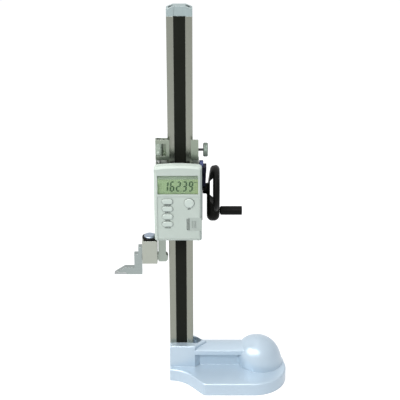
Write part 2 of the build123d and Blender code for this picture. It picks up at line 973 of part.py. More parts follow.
def drive_housing():
    cavity = pinion_tip + free_gap
    outer = cavity + housing_wall
    back_block = block(
        housing_left, housing_right, slider_back + seat_gap, drive_y, drive_z - outer, drive_z + outer,
    )
    barrel = rod_x(housing_left, housing_right, drive_y, drive_z, outer)
    barrel &= block(
        housing_left, housing_right, slider_back + seat_gap, drive_y + outer,
        drive_z - outer, drive_z + outer,
    )
    side_back = drive_y + outer - 4
    side_face = closed_face(
        [
            (side_plate_front, side_plate_bottom + 14),
            (side_plate_front + 8, side_plate_bottom),
            (slider_back, side_plate_bottom),
            (side_back, drive_z - outer),
            (side_back, drive_z + outer),
            (slider_back + 5, side_plate_top),
            (side_plate_front, side_plate_top),
        ]
    )
    side = prism_x(fillet(side_face.vertices(), 3.0), slider_right + seat_gap, housing_right)
    ear_left = housing_right - 1
    ear = prism_y(
        closed_face(
            [
                (ear_left, side_plate_top),
                (housing_right + ear_reach, side_plate_top),
                (housing_right + ear_foot_reach, ear_bottom),
                (ear_left, ear_bottom),
            ]
        ),
        0, slider_back + 4,
    )
    housing = back_block + barrel + side + ear
    pinion_half = pinion_width / 2 + 1
    housing -= rod_x(-pinion_half, pinion_half, drive_y, drive_z, cavity)
    housing -= block(
        -pinion_half, pinion_half, slider_back - 1, drive_y, drive_z - cavity, drive_z + cavity,
    )
    housing -= rod_x(housing_left - 1, housing_right + 1, drive_y, drive_z, bush_radius + seat_gap)
    for y, z in housing_screw_places():
        housing -= rod_x(slider_right - 1, housing_right + 1, y, z, housing_screw_radius + screw_slack)
        housing -= rod_x(
            housing_right - housing_screw_sink, housing_right + ear_reach + 1, y, z,
            housing_screw_head + screw_slack,
        )
    return housing


def housing_screws():
    return joined(
        socket_screw(
            (-1, 0, 0), housing_right - housing_screw_sink, y, z, housing_screw_radius,
            housing_screw_length, housing_screw_head, screw_head_height * housing_screw_radius,
        )
        for y, z in housing_screw_places()
    )


def pinion_bushes():
    bushes = []
    for x0 in (housing_left, housing_right - bush_length):
        bush = rod_x(x0, x0 + bush_length, drive_y, drive_z, bush_radius)
        bushes.append(bush - rod_x(x0 - 1, x0 + bush_length + 1, drive_y, drive_z, shaft_radius + run_gap))
    return joined(bushes)


def pinion():
    base_radius = pitch_radius * cos(radians(pressure_angle))
    root_radius = pitch_radius - dedendum

    def flank_angle(radius):
        # Involute angle from the base circle to a point at this radius.
        turn = acos(min(1, base_radius / radius))
        return tan(turn) - turn

    half_pitch_tooth = pi / (2 * pinion_teeth) - tooth_backlash / (4 * pitch_radius)
    steps = 3
    radii = [base_radius + (pinion_tip - base_radius) * index / steps for index in range(steps + 1)]
    halves = [half_pitch_tooth + flank_angle(pitch_radius) - flank_angle(radius) for radius in radii]
    points = []
    for tooth in range(pinion_teeth):
        middle = 2 * pi * tooth / pinion_teeth + pi
        rising = [(r, middle - h) for r, h in zip([root_radius] + radii, [halves[0]] + halves)]
        falling = [(r, 2 * middle - angle) for r, angle in rising[::-1]]
        points += [(r * cos(a), r * sin(a)) for r, a in rising + falling]
    gear = prism_x(Pos(drive_y, drive_z) * closed_face(points), -pinion_width / 2, pinion_width / 2)
    return gear - rod_x(-pinion_width, pinion_width, drive_y, drive_z, shaft_radius + seat_gap)


def drive_shaft():
    shaft = rod_x(housing_left + 0.5, wheel_screw_seat - seat_gap, drive_y, drive_z, shaft_radius)
    thread = rod_x(
        wheel_screw_seat - wheel_screw_length - 1, wheel_screw_seat + 1, drive_y, drive_z,
        wheel_screw_radius + seat_gap,
    )
    return shaft - thread


# Crank wheel and handle

def arm_side(direction, foot_left, left, reach, end_round):
    # Side of a dished arm: X against the distance from the axis, with a rounded outer end.
    side = closed_face(
        [
            (foot_left, 0),
            (foot_left, wheel_hub_radius),
            (left, reach - 2 * end_round),
            (left, reach),
            (rim_right, reach),
            (rim_right, wheel_radius - rim_depth),
            (rim_left, arm_inner + rim_left - wheel_hub_end),
            (wheel_hub_end, arm_inner),
            (wheel_hub_end, 0),
        ]
    )
    side = fillet(side.vertices().filter_by_position(Axis.Y, reach - 1, reach + 1), end_round)
    return Pos(0, drive_z) * (side if direction > 0 else mirror(side, Plane.XZ))


def lobe_outline():
    # The lower arm widens from the hub to the round boss that carries the handle.
    taper = closed_face(
        [
            (drive_y - wheel_hub_radius - 1, drive_z),
            (drive_y - lobe_radius, handle_z),
            (drive_y + lobe_radius, handle_z),
            (drive_y + wheel_hub_radius + 1, drive_z),
        ]
    )
    return taper + Pos(drive_y, handle_z) * Circle(lobe_radius)


def crank_wheel():
    rim = rod_x(rim_left, rim_right, drive_y, drive_z, wheel_radius)
    rim -= rod_x(rim_left - 1, rim_right + 1, drive_y, drive_z, wheel_radius - rim_depth)
    rim = fillet(rim.edges(), rim_round)
    upper = prism_y(
        arm_side(1, wheel_left + upper_foot_gap, wheel_hub_end, wheel_radius - 0.2, arm_round),
        drive_y - arm_width / 2, drive_y + arm_width / 2,
    )
    upper &= rod_x(wheel_left, rim_right, drive_y, drive_z, wheel_radius - 0.2)
    lower = prism_y(
        arm_side(-1, wheel_arm_left, wheel_arm_left, lobe_offset + lobe_radius, lobe_round),
        drive_y - lobe_radius, drive_y + lobe_radius,
    )
    lower &= prism_x(lobe_outline(), wheel_left, rim_right)
    wheel = rim + upper + lower + rod_x(wheel_left, wheel_hub_end, drive_y, drive_z, wheel_hub_radius)
    wheel -= rod_x(wheel_left - 1, wheel_screw_seat, drive_y, drive_z, shaft_radius + seat_gap)
    wheel -= rod_x(wheel_left, rim_right, drive_y, drive_z, wheel_screw_radius + screw_slack)
    wheel -= rod_x(wheel_screw_seat, rim_right + 1, drive_y, drive_z, wheel_screw_head + screw_slack)
    return wheel - rod_x(
        rim_right - handle_pin_bite - 1, rim_right + 1, drive_y, handle_z, handle_pin_thread + seat_gap,
    )


def wheel_screw():
    return socket_screw(
        (-1, 0, 0), wheel_screw_seat, drive_y, drive_z, wheel_screw_radius, wheel_screw_length,
        wheel_screw_head, screw_head_height * wheel_screw_radius,
    )


def handle_pin():
    start = rim_right + seat_gap
    pin = rod_x(start, pin_head_start, drive_y, handle_z, handle_pin_radius)
    pin += rod_x(start - handle_pin_bite, start, drive_y, handle_z, handle_pin_thread)
    pin_head = rod_x(
        pin_head_start, pin_head_start + 2, drive_y, handle_z, handle_pin_radius + handle_pin_head,
    )
    slot = block(
        pin_head_start + 1, pin_head_start + 3, drive_y - lobe_radius, drive_y + lobe_radius,
        handle_z - 0.4, handle_z + 0.4,
    )
    return pin + pin_head - slot


def crank_handle():
    start = rim_right + free_gap
    end = start + handle_length
    grip = rod_x(start, end, drive_y, handle_z, handle_radius)
    grip = chamfer(grip.edges().group_by(Axis.X)[0], 1.6)
    grip = chamfer(grip.edges().group_by(Axis.X)[-1], 0.6)
    grip -= rod_x(start - 1, end + 1, drive_y, handle_z, handle_pin_radius + run_gap)
    return grip - rod_x(
        pin_head_start - free_gap, end + 1, drive_y, handle_z,
        handle_pin_radius + handle_pin_head + free_gap,
    )


# Slider lock

def slide_lock():
    stem_tip = half_width + slide_gap + clamp_pad_length + seat_gap
    head = rod_x(slider_right + free_gap, slider_right + free_gap + lock_head, 0, lock_z, lock_radius)
    head = chamfer(head.edges(), 0.6)
    return head + rod_x(stem_tip, slider_right + free_gap + 1, 0, lock_z, lock_stem_radius)


def lock_pad():
    start = half_width + slide_gap
    return rod_x(start, start + clamp_pad_length, 0, lock_z, lock_stem_radius - 0.1)


# Fine feed carriage

def carriage_slope(x0, x1, flat):
    # What is cut away where the carriage's top falls towards the back, behind a flat strip.
    start = slider_front + flat
    end = back_face + carriage_back_wall + 1
    drop = (end - start) * tan(radians(carriage_fall))
    wedge = closed_face(
        [
            (start, carriage_top), (end, carriage_top - drop),
            (end, carriage_top + 1), (start, carriage_top + 1),
        ]
    )
    return prism_x(wedge, x0, x1)


def carriage_frame():
    front, back = slider_front, back_face + slide_gap + carriage_back_wall
    frame = block(bracket_web_left, carriage_right, front, back, carriage_bottom, carriage_top)
    frame = fillet(frame.edges().filter_by(Axis.Y).group_by(Axis.X)[-1].group_by(Axis.Z)[-1], 1.5)
    frame += block(
        bracket_left, bracket_web_left + 0.5, front, bracket_web_front + bracket_wall,
        carriage_bottom, carriage_top,
    )
    frame -= carriage_slope(bracket_left - 1, -half_width, bracket_flat)
    frame -= carriage_slope(-half_width, carriage_right + 1, lug_flat)
    frame -= block(
        -half_width - slide_gap, half_width + slide_gap, front_face - slide_gap, back_face + slide_gap,
        carriage_bottom - 1, carriage_top + 1,
    )
    opening = half_width - carriage_lip_cover
    frame -= block(-opening, opening, front - 1, front_face, carriage_bottom - 1, carriage_top + 1)
    frame -= block(
        bracket_left - 1, bracket_web_left, front - 1, bracket_web_front, window_low, window_high,
    )
    frame -= rod_z(feed_x, feed_y, carriage_bottom - 1, carriage_top + 1, feed_radius + free_gap)
    frame -= rod_x(half_width, carriage_right + 1, 0, thumb_z, thumb_stem_radius + run_gap)
    return frame - rod_z(
        keeper_x, keeper_y, carriage_top - keeper_length, carriage_top + 1, keeper_radius + seat_gap,
    )


def keeper_screw():
    top = carriage_top - 0.4
    screw = rod_z(keeper_x, keeper_y, carriage_top - keeper_length, top, keeper_radius)
    socket = Pos(keeper_x, keeper_y, top - keeper_radius) * RegularPolygon(keeper_radius * 0.6, 6)
    return screw - extrude(socket, amount=keeper_length)


def feed_rod():
    return rod_z(feed_x, feed_y, slider_top - feed_rod_bite, feed_rod_top, feed_radius)


def feed_nut():
    nut = rod_z(feed_x, feed_y, window_low + 0.05, window_high - 0.05, nut_radius)
    nut = chamfer(nut.edges(), 0.6)
    for share in (0.33, 0.67):
        z = window_low + (window_high - window_low) * share
        groove = rod_z(feed_x, feed_y, z - 0.4, z + 0.4, nut_radius + 1)
        nut -= groove - rod_z(feed_x, feed_y, z - 1, z + 1, nut_radius - 0.4)
    return nut - rod_z(feed_x, feed_y, window_low - 1, window_high + 1, feed_radius + run_gap)


def carriage_clamp():
    head_left = carriage_right + thumb_stem_length
    knob = rod_x(head_left, head_left + thumb_knob_thickness, 0, thumb_z, thumb_knob_radius)
    knob = chamfer(knob.edges(), 1.0)
    tip = half_width + slide_gap + clamp_pad_length + seat_gap
    return knob + rod_x(tip, head_left + 1, 0, thumb_z, thumb_stem_radius)


def carriage_pad():
    start = half_width + slide_gap
    return rod_x(start, start + clamp_pad_length, 0, thumb_z, thumb_stem_radius - 0.1)


nodes = {
    "base_casting": base_casting,
    "column": column,
    "scale_strip": scale_strip,
    "feed_rack": feed_rack,
    "column_cap": column_cap,
    "column_screws": column_screws,
    "rack_screws": rack_screws,
    "cap_screws": cap_screws,
    "slider_frame": slider_frame,
    "gib_leaf": gib_leaf,
    "gib_screws": gib_screws,
    "clamp_box": clamp_box,
    "clamp_knob": clamp_knob,
    "clamp_knob_ring": clamp_knob_ring,
    "scriber": scriber,
    "carbide_tip": carbide_tip,
    "display_front_cover": display_front_cover,
    "display_back_shell": display_back_shell,
    "lcd_window": lcd_window,
    "lcd_panel": lcd_panel,
    "circuit_board": circuit_board,
    "reader_head": reader_head,
    "ribbon_link": ribbon_link,
    "key_domes": key_domes,
    "battery_cover": battery_cover,
    "battery_cell": battery_cell,
    "battery_contact": battery_contact,
    "cover_screws": cover_screws,
    "mount_screws": mount_screws,
    "drive_housing": drive_housing,
    "housing_screws": housing_screws,
    "pinion_bushes": pinion_bushes,
    "pinion": pinion,
    "drive_shaft": drive_shaft,
    "crank_wheel": crank_wheel,
    "wheel_screw": wheel_screw,
    "handle_pin": handle_pin,
    "crank_handle": crank_handle,
    "slide_lock": slide_lock,
    "lock_pad": lock_pad,
    "carriage_frame": carriage_frame,
    "keeper_screw": keeper_screw,
    "feed_rod": feed_rod,
    "feed_nut": feed_nut,
    "carriage_clamp": carriage_clamp,
    "carriage_pad": carriage_pad,
}

os.makedirs("parts", exist_ok=True)
for name, make in nodes.items():
    export_step(make(), f"parts/{name}.step")
for name, make_outline, x, z in button_places():
    export_step(key(make_outline, x, z), f"parts/{name}.step")
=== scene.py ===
import bpy
import bmesh
import math
from mathutils import Matrix, Vector


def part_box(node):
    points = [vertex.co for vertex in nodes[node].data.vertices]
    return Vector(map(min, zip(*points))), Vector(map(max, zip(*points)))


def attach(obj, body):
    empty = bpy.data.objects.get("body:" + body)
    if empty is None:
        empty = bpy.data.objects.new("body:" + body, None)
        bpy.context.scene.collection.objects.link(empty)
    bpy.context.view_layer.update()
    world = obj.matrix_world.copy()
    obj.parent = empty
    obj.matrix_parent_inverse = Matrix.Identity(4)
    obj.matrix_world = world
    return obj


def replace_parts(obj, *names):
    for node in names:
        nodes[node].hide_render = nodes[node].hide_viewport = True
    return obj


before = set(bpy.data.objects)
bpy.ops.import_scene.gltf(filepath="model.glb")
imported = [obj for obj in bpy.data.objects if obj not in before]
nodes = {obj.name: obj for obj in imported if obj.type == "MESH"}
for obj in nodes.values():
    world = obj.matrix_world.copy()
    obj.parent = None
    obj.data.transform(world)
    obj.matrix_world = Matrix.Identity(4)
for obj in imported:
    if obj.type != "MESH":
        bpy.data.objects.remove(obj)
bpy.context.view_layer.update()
mm = 0.001


def boxOf(node):
    # Lowest corner, highest corner and middle of a node at rest, in millimetres.
    low, high = (Vector(corner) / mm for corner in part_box(node))
    return low, high, (low + high) / 2


# Camera, lamps, backdrop. Places and sizes are in millimetres.

camera = {"place": (24.8, -1387.0, 972.0), "pitch": 27.0, "lens": 109.08, "sensor": 36.0, "farEnd": 50000}

lampAim = (20, 0, 220)
# Mirrored says whether polished metal shows the lamp.
lamps = {
    "window": {
        "place": (-800, -700, 1150), "size": (700, 700), "power": 13.0, "tint": (1.0, 1.0, 1.0),
        "mirrored": True,
    },
    "top": {
        "place": (-150, 100, 1500), "size": (900, 800), "power": 11.0, "tint": (1.0, 1.0, 1.0),
        "mirrored": False,
    },
    "front": {
        "place": (-200, -1250, 1700), "size": (900, 700), "power": 15.0, "tint": (0.98, 1.0, 0.99),
        "mirrored": True,
    },
}

backdrop = {
    "floorSize": 30000, "floorDrop": 0.2, "floorColour": (0.80, 0.82, 0.84), "floorShade": 0.30,
    "floorGlow": 0.88,
    "skyColour": (0.80, 0.88, 1.0), "skyStrength": 0.30,
}


def newMaterial(name):
    material = bpy.data.materials.new(name)
    material.use_nodes = True
    material.node_tree.nodes.clear()
    return material, material.node_tree


def addNode(tree, kind, links=None, **values):
    # Makes a node; names of settings go on the node, names of sockets on its inputs.
    node = tree.nodes.new(kind)
    for key, value in values.items():
        if hasattr(node, key):
            setattr(node, key, value)
        else:
            node.inputs[key.replace("_", " ")].default_value = value
    for key, source in (links or {}).items():
        tree.links.new(source, node.inputs[key])
    return node


def addMath(tree, operation, first, second):
    return addNode(tree, "ShaderNodeMath", {0: first, 1: second}, operation=operation).outputs[0]


def addNoise(tree, place, **values):
    return addNode(tree, "ShaderNodeTexNoise", {"Vector": place.outputs["Object"]}, **values).outputs["Fac"]


def mixColour(tree, mask, first, second):
    # First and second are colours or sockets; mask is a socket.
    mix = addNode(tree, "ShaderNodeMix", data_type="RGBA")
    tree.links.new(mask, mix.inputs["Factor"])
    for socket, value in ((mix.inputs[6], first), (mix.inputs[7], second)):
        if isinstance(value, tuple):
            socket.default_value = (*value, 1)
        else:
            tree.links.new(value, socket)
    return mix.outputs[2]


def mapValue(tree, source, low, high, toLow, toHigh):
    node = addNode(tree, "ShaderNodeMapRange", {"Value": source})
    for key, value in (("From Min", low), ("From Max", high), ("To Min", toLow), ("To Max", toHigh)):
        node.inputs[key].default_value = value
    return node.outputs["Result"]


def buildCamera():
    data = bpy.data.cameras.new("viewCamera")
    data.lens = camera["lens"]
    data.sensor_width = camera["sensor"]
    data.clip_end = camera["farEnd"] * mm
    view = bpy.data.objects.new("viewCamera", data)
    view.location = [value * mm for value in camera["place"]]
    view.rotation_euler = (math.radians(90 - camera["pitch"]), 0, 0)
    bpy.context.scene.collection.objects.link(view)
    bpy.context.scene.camera = view


def buildLamps():
    for name, lamp in lamps.items():
        data = bpy.data.lights.new(name, "AREA")
        data.shape = "RECTANGLE"
        data.size, data.size_y = (value * mm for value in lamp["size"])
        data.energy = lamp["power"]
        data.color = lamp["tint"]
        light = bpy.data.objects.new(name, data)
        light.location = [value * mm for value in lamp["place"]]
        light.visible_glossy = lamp["mirrored"]
        aim = Vector(lampAim) * mm - light.location
        light.rotation_euler = aim.to_track_quat("-Z", "Y").to_euler()
        bpy.context.scene.collection.objects.link(light)


def backgroundRays(tree):
    # Camera, mirrored and transmitted rays all see the plain pale background.
    path = addNode(tree, "ShaderNodeLightPath")
    direct = addMath(tree, "MAXIMUM", path.outputs["Is Camera Ray"], path.outputs["Is Glossy Ray"])
    return addMath(tree, "MAXIMUM", direct, path.outputs["Is Transmission Ray"])


def buildSky():
    sky = bpy.data.worlds.new("studioSky")
    bpy.context.scene.world = sky
    sky.use_nodes = True
    tree = sky.node_tree
    tree.nodes.clear()
    skyColour = (*backdrop["skyColour"], 1)
    white = addNode(tree, "ShaderNodeBackground", Color=(1, 1, 1, 1), Strength=1.0)
    soft = addNode(tree, "ShaderNodeBackground", Color=skyColour, Strength=backdrop["skyStrength"])
    sources = {0: backgroundRays(tree), 1: soft.outputs[0], 2: white.outputs[0]}
    shown = addNode(tree, "ShaderNodeMixShader", sources)
    addNode(tree, "ShaderNodeOutputWorld", {"Surface": shown.outputs[0]})


def buildFloor():
    half = backdrop["floorSize"] * mm / 2
    corners = [(-half, -half, 0), (half, -half, 0), (half, half, 0), (-half, half, 0)]
    mesh = bpy.data.meshes.new("floor")
    mesh.from_pydata(corners, [], [(0, 1, 2, 3)])
    floor = bpy.data.objects.new("floor", mesh)
    bpy.context.scene.collection.objects.link(floor)
    floor.location.z = -backdrop["floorDrop"] * mm
    material, tree = newMaterial("paleFloor")
    grey = (*[backdrop["floorShade"]] * 3, 1)
    lit = addNode(tree, "ShaderNodeBsdfDiffuse", Color=(*backdrop["floorColour"], 1))
    shade = addNode(tree, "ShaderNodeBsdfDiffuse", Color=grey)
    glow = addNode(tree, "ShaderNodeEmission", Color=(1, 1, 1, 1), Strength=backdrop["floorGlow"])
    both = addNode(tree, "ShaderNodeAddShader", {0: shade.outputs[0], 1: glow.outputs[0]})
    sources = {0: backgroundRays(tree), 1: lit.outputs[0], 2: both.outputs[0]}
    shown = addNode(tree, "ShaderNodeMixShader", sources)
    addNode(tree, "ShaderNodeOutputMaterial", {"Surface": shown.outputs[0]})
    mesh.materials.append(material)


bpy.context.scene.view_settings.view_transform = "Standard"
buildCamera()
buildLamps()
buildSky()
buildFloor()
print("camera, lamps and floor are set")


# Shared surface effects, each one a node group

def newGroup(name, inputs, outputs):
    group = bpy.data.node_groups.new(name, "ShaderNodeTree")
    for label, kind, value in inputs:
        socket = group.interface.new_socket(label, in_out="INPUT", socket_type=kind)
        socket.default_value = value
    for label, kind in outputs:
        group.interface.new_socket(label, in_out="OUTPUT", socket_type=kind)
    return group, group.nodes.new("NodeGroupInput"), group.nodes.new("NodeGroupOutput")


def makeEdgeWear():
    # Finds edges by comparing the true normal with one rounded over the edge.
    group, given, result = newGroup(
        "edgeWear",
        [("Width", "NodeSocketFloat", 0.0006), ("Grain Scale", "NodeSocketFloat", 400.0)],
        [("Edge", "NodeSocketFloat"), ("Soft Normal", "NodeSocketVector")],
    )
    rounded = addNode(group, "ShaderNodeBevel", {"Radius": given.outputs["Width"]}, samples=6)
    surface = addNode(group, "ShaderNodeNewGeometry")
    normals = {0: rounded.outputs[0], 1: surface.outputs["Normal"]}
    agree = addNode(group, "ShaderNodeVectorMath", normals, operation="DOT_PRODUCT")
    sharp = mapValue(group, agree.outputs["Value"], 0.985, 0.85, 0, 1)
    place = addNode(group, "ShaderNodeTexCoord")
    grain = {"Vector": place.outputs["Object"], "Scale": given.outputs["Grain Scale"]}
    noise = addNode(group, "ShaderNodeTexNoise", grain, Detail=2.0)
    patchy = mapValue(group, noise.outputs["Fac"], 0.3, 0.6, 0, 1)
    group.links.new(addMath(group, "MULTIPLY", sharp, patchy), result.inputs["Edge"])
    group.links.new(rounded.outputs[0], result.inputs["Soft Normal"])
    return group


def makeGrinding():
    # Fine straight lines of a ground or brushed face. Stretch is large across the lines and small along them.
    group, given, result = newGroup(
        "grinding",
        [("Stretch", "NodeSocketVector", (1.0, 1.0, 1.0)), ("Scale", "NodeSocketFloat", 300.0)],
        [("Lines", "NodeSocketFloat"), ("Patches", "NodeSocketFloat")],
    )
    place = addNode(group, "ShaderNodeTexCoord")
    stretched = {0: place.outputs["Object"], 1: given.outputs["Stretch"]}
    along = addNode(group, "ShaderNodeVectorMath", stretched, operation="MULTIPLY")
    grain = {"Vector": along.outputs[0], "Scale": given.outputs["Scale"]}
    lines = addNode(group, "ShaderNodeTexNoise", grain, Detail=4.0, Roughness=0.6)
    group.links.new(lines.outputs["Fac"], result.inputs["Lines"])
    group.links.new(addNoise(group, place, Scale=38.0, Detail=3.0), result.inputs["Patches"])
    return group


def makeMouldGrain():
    # Fine spark-eroded texture of a plastic mould, with faint larger clouding.
    group, given, result = newGroup(
        "mouldGrain",
        [("Scale", "NodeSocketFloat", 2200.0)],
        [("Pits", "NodeSocketFloat"), ("Clouds", "NodeSocketFloat")],
    )
    place = addNode(group, "ShaderNodeTexCoord")
    grain = {"Vector": place.outputs["Object"], "Scale": given.outputs["Scale"]}
    pits = addNode(group, "ShaderNodeTexVoronoi", grain)
    group.links.new(pits.outputs["Distance"], result.inputs["Pits"])
    group.links.new(addNoise(group, place, Scale=45.0, Detail=4.0), result.inputs["Clouds"])
    return group


def makeDust():
    # Thin settled dust: only on faces that look up, and broken by noise.
    group, given, result = newGroup(
        "dust",
        [("Amount", "NodeSocketFloat", 0.2)],
        [("Dust", "NodeSocketFloat")],
    )
    place = addNode(group, "ShaderNodeTexCoord")
    parts = addNode(group, "ShaderNodeSeparateXYZ", {0: place.outputs["Normal"]})
    facing = mapValue(group, parts.outputs["Z"], 0.3, 1.0, 0, 1)
    broken = mapValue(group, addNoise(group, place, Scale=120.0, Detail=6.0), 0.35, 0.75, 0, 1)
    both = addMath(group, "MULTIPLY", facing, broken)
    group.links.new(addMath(group, "MULTIPLY", both, given.outputs["Amount"]), result.inputs["Dust"])
    return group


edgeWear = makeEdgeWear()
grinding = makeGrinding()
mouldGrain = makeMouldGrain()
dust = makeDust()


def useGroup(tree, group, **values):
    node = tree.nodes.new("ShaderNodeGroup")
    node.node_tree = group
    for key, value in values.items():
        node.inputs[key.replace("_", " ")].default_value = value
    return node


def bumpFrom(tree, height, strength, depth, normal=None):
    bump = addNode(tree, "ShaderNodeBump", {"Height": height}, Strength=strength, Distance=depth)
    if normal is not None:
        tree.links.new(normal, bump.inputs["Normal"])
    return bump.outputs["Normal"]


def roughFrom(tree, source, look):
    return mapValue(tree, source, 0.3, 0.7, look["rough"] - look["smoother"], look["rough"] + look["rougher"])


def rubEdges(tree, wear, look, under):
    share = mapValue(tree, wear.outputs["Edge"], 0, 1, 0, look["edgeShare"])
    return mixColour(tree, share, under, look["edgeColour"])


def finishMaterial(tree, colour, normal, roughness, **values):
    # Roughness is a socket, or a plain number where it is the same all over.
    shader = addNode(tree, "ShaderNodeBsdfPrincipled", **values)
    for key, value in (("Base Color", colour), ("Normal", normal), ("Roughness", roughness)):
        if isinstance(value, float):
            shader.inputs[key].default_value = value
        else:
            tree.links.new(value, shader.inputs[key])
    addNode(tree, "ShaderNodeOutputMaterial", {"Surface": shader.outputs[0]})


# Steel and brass. What a look leaves out comes from commonSteel.
# In every look the edge, the depth and the reach are in metres, as the nodes take them.

commonSteel = {
    "stretch": (1.0, 30.0, 30.0), "scale": 60.0, "spread": 0.10, "stains": 0.35,
    "edge": 0.0004, "edgeShare": 0.5, "edgeColour": (0.75, 0.76, 0.74),
    "smoother": 0.05, "rougher": 0.06, "relief": 0.12, "depth": 0.00004, "metallic": 1.0, "anisotropic": 0.3,
}
evenGrain = (20.0, 20.0, 20.0)
steelLooks = {
    "columnSteel": {
        "colour": (0.26, 0.27, 0.23), "rough": 0.30, "stretch": (60.0, 60.0, 1.0), "anisotropic": 0.4,
    },
    "sliderSteel": {"colour": (0.31, 0.35, 0.31), "rough": 0.38},
    "clampSteel": {"colour": (0.38, 0.40, 0.35), "rough": 0.36},
    "scriberSteel": {"colour": (0.31, 0.35, 0.34), "rough": 0.30},
    "carbide": {"colour": (0.36, 0.38, 0.38), "rough": 0.22, "scale": 80.0},
    "capSilver": {
        "colour": (0.35, 0.42, 0.42), "rough": 0.42, "stretch": evenGrain, "scale": 30.0, "metallic": 0.75,
    },
    "carriageSteel": {"colour": (0.28, 0.32, 0.26), "rough": 0.38},
    "darkScrew": {
        "colour": (0.05, 0.05, 0.055), "rough": 0.4, "stretch": evenGrain, "scale": 50.0,
        "edgeColour": (0.3, 0.3, 0.3),
    },
    "rackSteel": {"colour": (0.40, 0.41, 0.40), "rough": 0.36, "stretch": (1.0, 40.0, 40.0)},
    "chrome": {
        "colour": (0.35, 0.41, 0.49), "rough": 0.27, "stretch": evenGrain, "scale": 40.0,
        "spread": 0.03, "relief": 0.03,
    },
    "nutChrome": {"colour": (0.33, 0.39, 0.33), "rough": 0.44, "stretch": (30.0, 30.0, 2.0)},
    "thumbSteel": {"colour": (0.18, 0.22, 0.19), "rough": 0.5, "stretch": (2.0, 30.0, 30.0)},
    "blueSteel": {
        "colour": (0.05, 0.06, 0.14), "rough": 0.3, "stretch": (2.0, 30.0, 30.0),
        "edgeColour": (0.2, 0.22, 0.34),
    },
    "brass": {
        "colour": (0.62, 0.45, 0.20), "rough": 0.34, "stretch": (20.0, 20.0, 2.0), "scale": 50.0,
        "edgeColour": (0.8, 0.65, 0.35),
    },
    "zincScrew": {"colour": (0.55, 0.56, 0.55), "rough": 0.33, "stretch": evenGrain, "scale": 50.0},
}


def groundSteel(name, own):
    look = {**commonSteel, **own}
    material, tree = newMaterial(name)
    grain = useGroup(tree, grinding, Stretch=look["stretch"], Scale=look["scale"])
    wear = useGroup(tree, edgeWear, Width=look["edge"])
    light = tuple(value * (1 + look["spread"]) for value in look["colour"])
    dark = tuple(value * (1 - look["spread"]) for value in look["colour"])
    lined = mixColour(tree, grain.outputs["Lines"], dark, light)
    stains = mapValue(tree, grain.outputs["Patches"], 0.45, 0.8, 0.0, look["stains"])
    stained = mixColour(tree, stains, lined, dark)
    edged = rubEdges(tree, wear, look, stained)
    rough = roughFrom(tree, grain.outputs["Lines"], look)
    soft = wear.outputs["Soft Normal"]
    normal = bumpFrom(tree, grain.outputs["Lines"], look["relief"], look["depth"], soft)
    finishMaterial(tree, edged, normal, rough, Metallic=look["metallic"], Anisotropic=look["anisotropic"])
    return material


# Plastics. What a look leaves out comes from commonPlastic.

commonPlastic = {
    "scale": 2200.0, "edge": 0.0005, "edgeShare": 0.25,
    # The crease settings darken creases and gaps by occlusion: painted shade.
    "crease": 0.5, "creaseReach": 0.0022, "paintedCreaseShade": (0.03, 0.035, 0.03), "dust": 0.06,
    "dustColour": (0.62, 0.62, 0.60),
    "smoother": 0.04, "rougher": 0.05, "relief": 0.12, "depth": 0.00005, "specular": 0.4,
}
plasticLooks = {
    "caseWhite": {
        "colour": (0.455, 0.505, 0.45), "second": (0.48, 0.53, 0.475), "rough": 0.42,
        "edgeColour": (0.72, 0.78, 0.76), "edgeShare": 0.6, "crease": 0.75,
    },
    "caseBack": {
        "colour": (0.40, 0.44, 0.42), "second": (0.43, 0.47, 0.45), "rough": 0.5,
        "edgeColour": (0.66, 0.70, 0.68),
    },
    "doorGrey": {
        "colour": (0.38, 0.42, 0.375), "second": (0.40, 0.445, 0.40), "rough": 0.45,
        "edgeColour": (0.72, 0.78, 0.74),
    },
    "keyWhite": {
        "colour": (0.50, 0.555, 0.50), "second": (0.53, 0.585, 0.53), "rough": 0.38,
        "edgeColour": (0.82, 0.88, 0.85),
    },
    "blackGrip": {
        "colour": (0.004, 0.004, 0.0035), "second": (0.006, 0.006, 0.005), "rough": 0.46,
        "edgeColour": (0.02, 0.02, 0.03), "specular": 0.08, "dust": 0.012,
    },
    "blackHousing": {
        "colour": (0.007, 0.007, 0.020), "second": (0.010, 0.010, 0.028), "rough": 0.42,
        "edgeColour": (0.03, 0.03, 0.09), "specular": 0.09, "dust": 0.012,
    },
    "blackStrip": {
        "colour": (0.008, 0.009, 0.006), "second": (0.010, 0.011, 0.008), "rough": 0.55,
        "edgeColour": (0.02, 0.02, 0.02), "specular": 0.08, "dust": 0.01,
    },
    "boardGreen": {
        "colour": (0.03, 0.16, 0.06), "second": (0.04, 0.20, 0.08), "rough": 0.35,
        "edgeColour": (0.3, 0.3, 0.15),
    },
    "ribbonAmber": {
        "colour": (0.45, 0.28, 0.07), "second": (0.5, 0.32, 0.09), "rough": 0.3,
        "edgeColour": (0.6, 0.4, 0.15),
    },
}


def mouldedPlastic(name, own):
    look = {**commonPlastic, **own}
    material, tree = newMaterial(name)
    grain = useGroup(tree, mouldGrain, Scale=look["scale"])
    wear = useGroup(tree, edgeWear, Width=look["edge"])
    settled = useGroup(tree, dust, Amount=look["dust"])
    clouds = mapValue(tree, grain.outputs["Clouds"], 0.3, 0.7, 0.0, 1.0)
    clouded = mixColour(tree, clouds, look["colour"], look["second"])
    edged = rubEdges(tree, wear, look, clouded)
    # Painted shade: creases, corners and the gaps round keys are darkened by occlusion, standing in for the
    # shade that falls into them.
    corner = addNode(tree, "ShaderNodeAmbientOcclusion", samples=8, Distance=look["creaseReach"])
    paintedCreaseShade = mapValue(tree, corner.outputs["AO"], 0.35, 0.95, look["crease"], 0.0)
    creaseShaded = mixColour(tree, paintedCreaseShade, edged, look["paintedCreaseShade"])
    dusty = mixColour(tree, settled.outputs["Dust"], creaseShaded, look["dustColour"])
    rough = roughFrom(tree, grain.outputs["Clouds"], look)
    normal = bumpFrom(tree, grain.outputs["Pits"], look["relief"], look["depth"], wear.outputs["Soft Normal"])
    finishMaterial(tree, dusty, normal, rough, Specular_IOR_Level=look["specular"])
    return material


